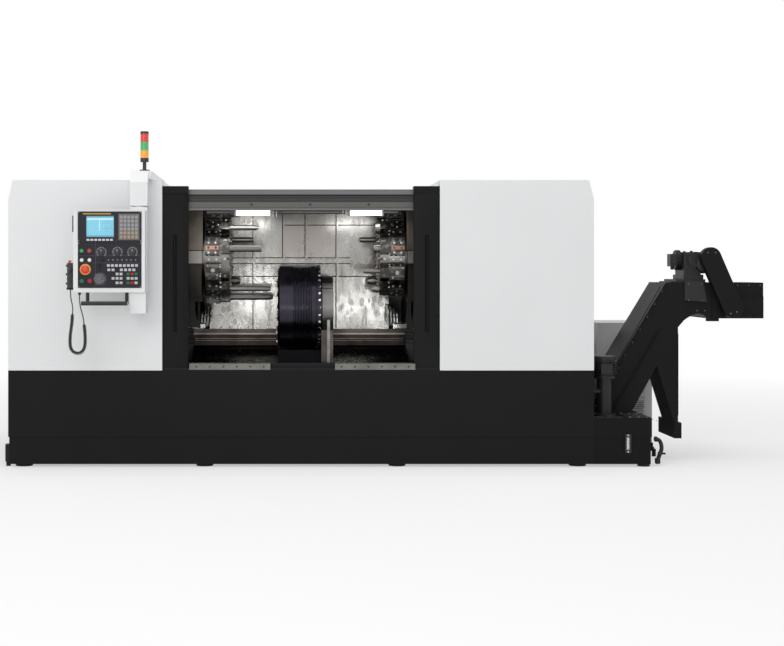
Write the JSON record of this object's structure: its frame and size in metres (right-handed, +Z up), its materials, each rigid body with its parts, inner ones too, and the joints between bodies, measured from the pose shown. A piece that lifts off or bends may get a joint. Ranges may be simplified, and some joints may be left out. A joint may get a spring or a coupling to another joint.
{
  "type": "cnc turning lathe",
  "caption": "Two-turret turning lathe with a central spindle drum, sliding doors, side housings, pendant control, coolant tank and inclined chip conveyor",
  "frame": {"origin": "on the floor, at the middle of the footprint of the whole machine", "axes": "+X along the spindle towards the chip conveyor, +Y from the operator side to the rear, +Z up"},
  "size_m": [4.96, 2.23, 2.143],
  "materials": {
    "machine_black": "satin black powder coat",
    "plinth_black": "satin black paint",
    "housing_white": "smooth pale grey-white paint",
    "cabinet_grey": "light grey structured paint",
    "header_grey": "dark grey paint",
    "feet_steel": "zinc plated steel",
    "wall_stainless": "brushed stainless sheet with coolant marks",
    "tray_steel": "dark stainless sheet, oily",
    "bed_iron": "painted casting",
    "rail_steel": "ground hardened steel",
    "headstock_iron": "black painted casting",
    "bearing_steel": "ground bearing steel",
    "drum_steel": "dark blued steel",
    "collet_steel": "hardened steel",
    "disc_steel": "nickel plated steel",
    "tool_steel": "hardened tool steel",
    "slide_guard": "oily stainless guard plates",
    "carriage_guard": "dark grey way covers",
    "window_glass": "clear laminated safety window",
    "lamp_glass": "frosted lamp tube",
    "conveyor_black": "satin black paint",
    "belt_steel": "hinged steel belt",
    "motor_black": "black paint",
    "pump_black": "black paint",
    "gauge_white": "white sight gauge in a black frame",
    "pendant_white": "smooth pale grey-white paint",
    "control_plastic": "dark grey plastic",
    "panel_dark": "dark grey fascia",
    "screen_blue": "lit display behind clear cover",
    "button_green": "green plastic",
    "button_red": "red plastic",
    "stop_red": "red plastic mushroom head",
    "dial_black": "black plastic",
    "wheel_grey": "dark grey plastic",
    "remote_black": "black rubber and plastic",
    "cord_black": "black cord jacket",
    "tower_black": "black plastic",
    "lens_red": "red translucent plastic lens",
    "lens_green": "green translucent plastic lens",
    "lens_amber": "amber translucent plastic lens"
  },
  "bodies": {
    "machine": {"base": "machine_black", "levelling_feet": "feet_steel", "coolant_tank": "plinth_black", "level_gauge": "gauge_white", "left_housing": "housing_white", "right_housing": "housing_white", "roof_and_rear_cover": "housing_white", "header_beam": "header_grey", "work_area_ceiling": "wall_stainless", "lamp_tubes": "lamp_glass", "door_sill": "machine_black", "chip_tray": "tray_steel", "back_wall_panels": "wall_stainless", "bed": "bed_iron", "bed_rails": "rail_steel", "headstock": "headstock_iron", "spindle_bearings": "bearing_steel", "conveyor_casing": "conveyor_black", "conveyor_belt": "belt_steel", "discharge_chute": "conveyor_black", "chain_guard": "conveyor_black", "conveyor_gearmotor": "motor_black", "coolant_pump": "pump_black", "unit_cabinet": "cabinet_grey", "unit_cabinet_cover": "cabinet_grey", "pendant_arm": "pendant_white", "tower_pole": "tower_black", "tower_red_lens": "lens_red", "tower_green_lens": "lens_green", "tower_amber_lens": "lens_amber"},
    "left_door": {"left_door": "machine_black", "left_door_window": "window_glass"},
    "right_door": {"right_door": "machine_black", "right_door_window": "window_glass"},
    "left_carriage": {"left_carriage": "carriage_guard"},
    "right_carriage": {"right_carriage": "carriage_guard"},
    "left_cross_slide": {"left_cross_slide": "slide_guard"},
    "right_cross_slide": {"right_cross_slide": "slide_guard"},
    "left_turret": {"left_turret_disc": "disc_steel", "left_turret_tools": "tool_steel"},
    "right_turret": {"right_turret_disc": "disc_steel", "right_turret_tools": "tool_steel"},
    "spindle": {"spindle_drum": "drum_steel"},
    "collet": {"clamping_collet": "collet_steel"},
    "pendant": {"pendant_case": "pendant_white", "control_unit": "control_plastic", "display_screen": "screen_blue", "operator_panel": "panel_dark", "remote_handwheel": "remote_black", "remote_lead": "cord_black", "remote_lead_coil": "cord_black"},
    "start_button": {"start_button": "button_green"},
    "stop_button": {"stop_button": "button_red"},
    "emergency_stop": {"emergency_stop": "stop_red"},
    "spindle_override": {"spindle_override": "dial_black"},
    "feed_override": {"feed_override": "dial_black"},
    "mode_selector": {"mode_selector": "dial_black"},
    "pulse_handwheel": {"pulse_handwheel": "wheel_grey"},
    "conveyor_shaft": {"conveyor_head_shaft": "rail_steel"}
  },
  "joints": [
    {"name": "left_door_slide", "type": "slide", "parent": "machine", "child": "left_door", "axis": [1, 0, 0], "range_m": [0, 0.72]},
    {"name": "right_door_slide", "type": "slide", "parent": "machine", "child": "right_door", "axis": [-1, 0, 0], "range_m": [0, 0.72]},
    {"name": "left_z_axis", "type": "slide", "parent": "machine", "child": "left_carriage", "axis": [1, 0, 0], "range_m": [-0.3, 0.02]},
    {"name": "right_z_axis", "type": "slide", "parent": "machine", "child": "right_carriage", "axis": [-1, 0, 0], "range_m": [-0.245, 0.08]},
    {"name": "left_x_axis", "type": "slide", "parent": "left_carriage", "child": "left_cross_slide", "axis": [0, 0, 1], "range_m": [-0.03, 0.08]},
    {"name": "right_x_axis", "type": "slide", "parent": "right_carriage", "child": "right_cross_slide", "axis": [0, 0, 1], "range_m": [-0.03, 0.08]},
    {"name": "left_turret_index", "type": "hinge", "parent": "left_cross_slide", "child": "left_turret", "pos_m": [-1.129, -0.195, 1.363], "axis": [1, 0, 0], "continuous": true},
    {"name": "right_turret_index", "type": "hinge", "parent": "right_cross_slide", "child": "right_turret", "pos_m": [0.028, -0.195, 1.363], "axis": [1, 0, 0], "continuous": true},
    {"name": "spindle_rotation", "type": "hinge", "parent": "machine", "child": "spindle", "pos_m": [-0.586, -0.195, 1.013], "axis": [1, 0, 0], "continuous": true},
    {"name": "collet_draw", "type": "slide", "parent": "spindle", "child": "collet", "axis": [1, 0, 0], "range_m": [0, 0.006]},
    {"name": "pendant_swivel", "type": "hinge", "parent": "machine", "child": "pendant", "pos_m": [-1.606, -0.883, 1.658], "axis": [0, 0, 1], "range_deg": [-10, 60]},
    {"name": "start_push", "type": "slide", "parent": "pendant", "child": "start_button", "axis": [0, 1, 0], "range_m": [0, 0.004], "stiffness_N_per_m": 300},
    {"name": "stop_push", "type": "slide", "parent": "pendant", "child": "stop_button", "axis": [0, 1, 0], "range_m": [0, 0.004], "stiffness_N_per_m": 300},
    {"name": "emergency_push", "type": "slide", "parent": "pendant", "child": "emergency_stop", "axis": [0, 1, 0], "range_m": [0, 0.005]},
    {"name": "spindle_override_turn", "type": "hinge", "parent": "pendant", "child": "spindle_override", "pos_m": [-1.829, -1.03, 1.373], "axis": [0, 1, 0], "range_deg": [-135, 135]},
    {"name": "feed_override_turn", "type": "hinge", "parent": "pendant", "child": "feed_override", "pos_m": [-1.729, -1.03, 1.373], "axis": [0, 1, 0], "range_deg": [-135, 135]},
    {"name": "mode_turn", "type": "hinge", "parent": "pendant", "child": "mode_selector", "pos_m": [-1.635, -1.03, 1.373], "axis": [0, 1, 0], "range_deg": [-60, 60]},
    {"name": "pulse_wheel_turn", "type": "hinge", "parent": "pendant", "child": "pulse_handwheel", "pos_m": [-1.838, -1.03, 1.205], "axis": [0, 1, 0], "continuous": true},
    {"name": "conveyor_shaft_turn", "type": "hinge", "parent": "machine", "child": "conveyor_shaft", "pos_m": [2.262, -0.23, 1.078], "axis": [0, 1, 0], "continuous": true}
  ]
}
